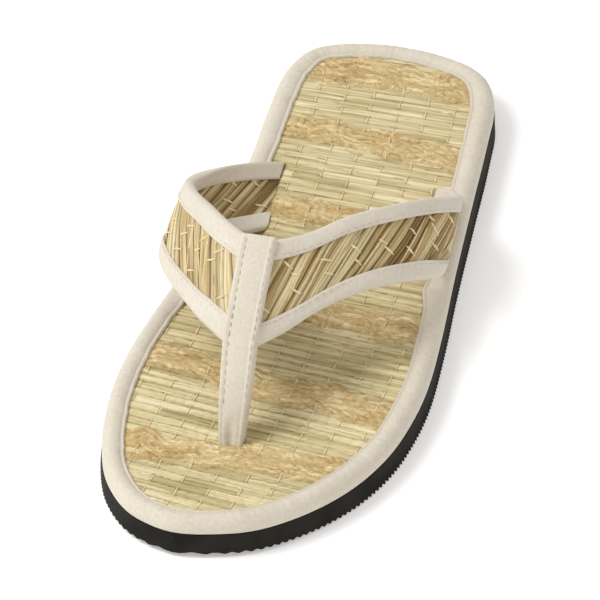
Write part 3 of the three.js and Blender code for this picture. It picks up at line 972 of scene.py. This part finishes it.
tape_sets = []
for _, _, (start, end), on_rear, tape_width, _ in tape_rows:
    from_edge = (tape_width - 1.5) * MM
    place = strap_step(start)
    while place < strap_step(end):
        shares = np.interp(place + bead_along * 0.72 * MM, strap_length, strap_share)
        width = strap_station(shares)[1][:, 0]
        spots = from_edge + bead_points[:, 0] * 0.19 * MM
        for side in (1, -1):
            over = side * (2.14 * MM + bead_points[:, 2] * 0.17 * MM)
            tape_sets.append(strap_point(shares, width - spots if on_rear else spots, over))
        place += 2.05 * MM
tape_thread = sewn("tape_thread", tape_sets)
fit_out(tape_thread, "strap_cotton")
thread, shader, link, node = new_material("sewing_thread", 0.7)
place = node("ShaderNodeTexCoord")
strand = node("ShaderNodeTexNoise", Scale=1500.0, Detail=2.0)
link(place.outputs["Object"], strand.inputs["Vector"])
thread_tone = ramp(node, [(0.3, tint(188, 179, 156)), (0.7, tint(212, 204, 184))])
link(strand.outputs["Fac"], thread_tone.inputs["Fac"])
link(thread_tone.outputs["Color"], shader.inputs["Base Color"])
tape_thread.data.materials.append(thread)


# Centre band
# A folded cotton band covers the meeting of the straps and runs down between the toes
# into the footbed. It is topstitched near both edges and lapped along its outer side.
post_rows = np.array([
    # x, y, height over the mat, width
    (-6, -85.5, -2.4, 7.6),
    (-6, -85, 0, 8.0),
    (-6.3, -80, 12, 9.8),
    (-6.7, -74.5, 21, 10.6),
]) * MM
band_reach = 0.8 * MM
crossing_shares = np.array([0.06, 0.2, 0.4, 0.6, 0.8, 1.0])
post_points = np.column_stack([
    post_rows[:, 0] + CENTRE_X, post_rows[:, 1], mat_top(post_rows[:, 1]) + post_rows[:, 2]])
meeting = np.full(len(crossing_shares), 0.5)
cross_from = crossing_shares * strap_station(meeting)[1][0, 0]
cross_from[-1] += band_reach
cross_points = strap_point(meeting, cross_from, np.zeros_like(meeting))
band_path = rounded_path(np.vstack([post_points, cross_points]), 16)
band_widths = np.concatenate([post_rows[:, 3], (11 + 0.8 * crossing_shares) * MM])
band_share = np.linspace(0, 1, len(band_path))
band_half = np.interp(band_share, np.linspace(0, 1, len(band_widths)), band_widths) / 2
band_run = np.gradient(band_path, axis=0)
band_run /= np.linalg.norm(band_run, axis=1)[:, None]
to_outer = np.array([1.0, 0, 0])
band_rise = np.cross(to_outer, band_run)
band_rise /= np.linalg.norm(band_rise, axis=1)[:, None]
band_steps = np.linalg.norm(np.diff(band_path, axis=0), axis=1)
band_length = np.concatenate([[0], np.cumsum(band_steps)])
band_tall = 2.95 * MM
band_section = np.array([
    # share of the half width, share of the half height
    (-1.0, 0.0), (-1.0, 0.45), (-0.95, 0.8), (-0.85, 0.97), (-0.7, 0.93), (-0.64, 0.9),
    (-0.58, 0.94), (-0.4, 1.0), (-0.15, 1.02), (0.1, 1.02), (0.35, 1.0), (0.55, 0.97),
    (0.63, 0.94), (0.66, 1.06), (0.74, 1.12), (0.88, 1.1), (0.97, 0.9), (1.0, 0.5),
    (1.0, 0.0), (1.0, -0.5), (0.93, -0.9), (0.7, -1.0), (0.3, -1.0), (-0.3, -1.0),
    (-0.7, -1.0), (-0.93, -0.9), (-1.0, -0.5),
])
band_loop = rounded_path(band_section, 2, closed=True)
band_loop = np.vstack([band_loop, band_loop[:1]])
rows, columns = len(band_path), len(band_loop)
side = np.repeat(band_loop[None, :, 0], rows, axis=0)
rise = np.repeat(band_loop[None, :, 1], rows, axis=0)
down = np.repeat(band_length[:, None], columns, axis=1)
crease = np.exp(-((side + 0.05) / 0.3)**2) * (1 - smoothstep(2 * MM, 13 * MM, down))
rise = rise - 0.55 * (crease * (rise > 0))
rise = rise + 0.07 * wander(down * 1.6 + 0.004 * side, 71, 1) * (np.abs(side) < 0.9)
rise = rise + 0.03 * wander(down * 5 - 0.008 * side, 73, 1) * (np.abs(side) < 0.9)
band_points = (band_path[:, None] + side[..., None] * band_half[:, None, None] * to_outer
               + (rise * band_tall)[..., None] * band_rise[:, None])
for end in (0, -1):
    band_points[end] = band_points[end].mean(axis=0)
centre_band = laid("cotton_centre_band", band_points)
add_attribute(centre_band, "run", down)
add_attribute(centre_band, "step", side * 6 * MM)
weld(centre_band)
smooth(centre_band, 60)
fit_out(centre_band, "band_cotton", "centre_band")
centre_band.data.materials.append(
    cotton_material("band_cotton", tint(220, 212, 199), tint(205, 197, 180)))

thread_sets = []
for offset, rise_share in ((-0.64, 0.98), (0.8, 1.16)):
    place = 16 * MM
    while place < band_length[-1] - 2 * MM:
        spots = place + bead_along * 0.95 * MM
        at = [np.interp(spots, band_length, band_path[:, k]) for k in range(3)]
        up = [np.interp(spots, band_length, band_rise[:, k]) for k in range(3)]
        half = np.interp(spots, band_length, band_half)
        lift = rise_share * band_tall - 0.04 * MM + bead_points[:, 2] * 0.2 * MM
        x = at[0] + offset * half + bead_points[:, 0] * 0.2 * MM + up[0] * lift
        thread_sets.append(np.column_stack([x, at[1] + up[1] * lift, at[2] + up[2] * lift]))
        place += 2.9 * MM
band_thread = sewn("band_thread", thread_sets)
fit_out(band_thread, "band_cotton")
band_thread.data.materials.append(thread)


# Studio
# A white sweep of paper under a large soft light from the upper left and a weak one
# from the right, seen from in front and a little to the outer side.
bpy.ops.object.select_all(action="DESELECT")
bpy.ops.mesh.primitive_plane_add(size=8)
floor = bpy.context.object
floor.name = "paper_floor"
paper, shader, link, node = new_material("white_paper", 0.9)
place = node("ShaderNodeTexCoord")
tooth_noise = node("ShaderNodeTexNoise", Scale=30.0, Detail=2.0)
link(place.outputs["Object"], tooth_noise.inputs["Vector"])
paper_tone = ramp(node, [(0.3, (0.86, 0.86, 0.86, 1)), (0.7, (0.88, 0.88, 0.88, 1))])
link(tooth_noise.outputs["Fac"], paper_tone.inputs["Fac"])
link(paper_tone.outputs["Color"], shader.inputs["Base Color"])
shader.inputs["Emission Color"].default_value = (1, 1, 1, 1)
shader.inputs["Emission Strength"].default_value = 0.3
floor.data.materials.append(paper)

world = bpy.data.worlds.new("white_room")
bpy.context.scene.world = world
world.use_nodes = True
world.node_tree.nodes["Background"].inputs["Color"].default_value = (1, 0.98, 0.945, 1)
world.node_tree.nodes["Background"].inputs["Strength"].default_value = 0.6


def soft_light(name, place, size, power):
    """Square soft box that faces the shoe."""
    lamp = bpy.data.lights.new(name, "AREA")
    lamp.size = size
    lamp.energy = power
    holder = bpy.data.objects.new(name, lamp)
    bpy.context.collection.objects.link(holder)
    holder.location = place
    aim = -np.array(place) / np.linalg.norm(place)
    holder.rotation_euler = (math.acos(-aim[2]), 0, math.atan2(-aim[0], aim[1]))
    return holder


soft_light("key", (-1.15, -0.45, 1.6), 0.9, 27)
soft_light("fill", (0.8, -0.9, 0.9), 1.2, 2.4)

camera_data = bpy.data.cameras.new("camera")
camera = bpy.data.objects.new("camera", camera_data)
bpy.context.collection.objects.link(camera)
azimuth, elevation, distance = math.radians(14.49), math.radians(39.14), 1.898
stand = np.array([math.sin(azimuth) * math.cos(elevation),
                  -math.cos(azimuth) * math.cos(elevation), math.sin(elevation)])
camera.location = stand * distance + np.array([0.00064, 0.0, 0.0125])
aim_at = np.array([0.00064, -0.019, 0.0185])
sight = aim_at - np.array(camera.location)
sight /= np.linalg.norm(sight)
camera.rotation_euler = (math.acos(-sight[2]), 0, math.atan2(-sight[0], sight[1]))
camera_data.lens = 345
camera_data.clip_end = 20
bpy.context.scene.camera = camera
bpy.context.scene.view_settings.view_transform = "Standard"
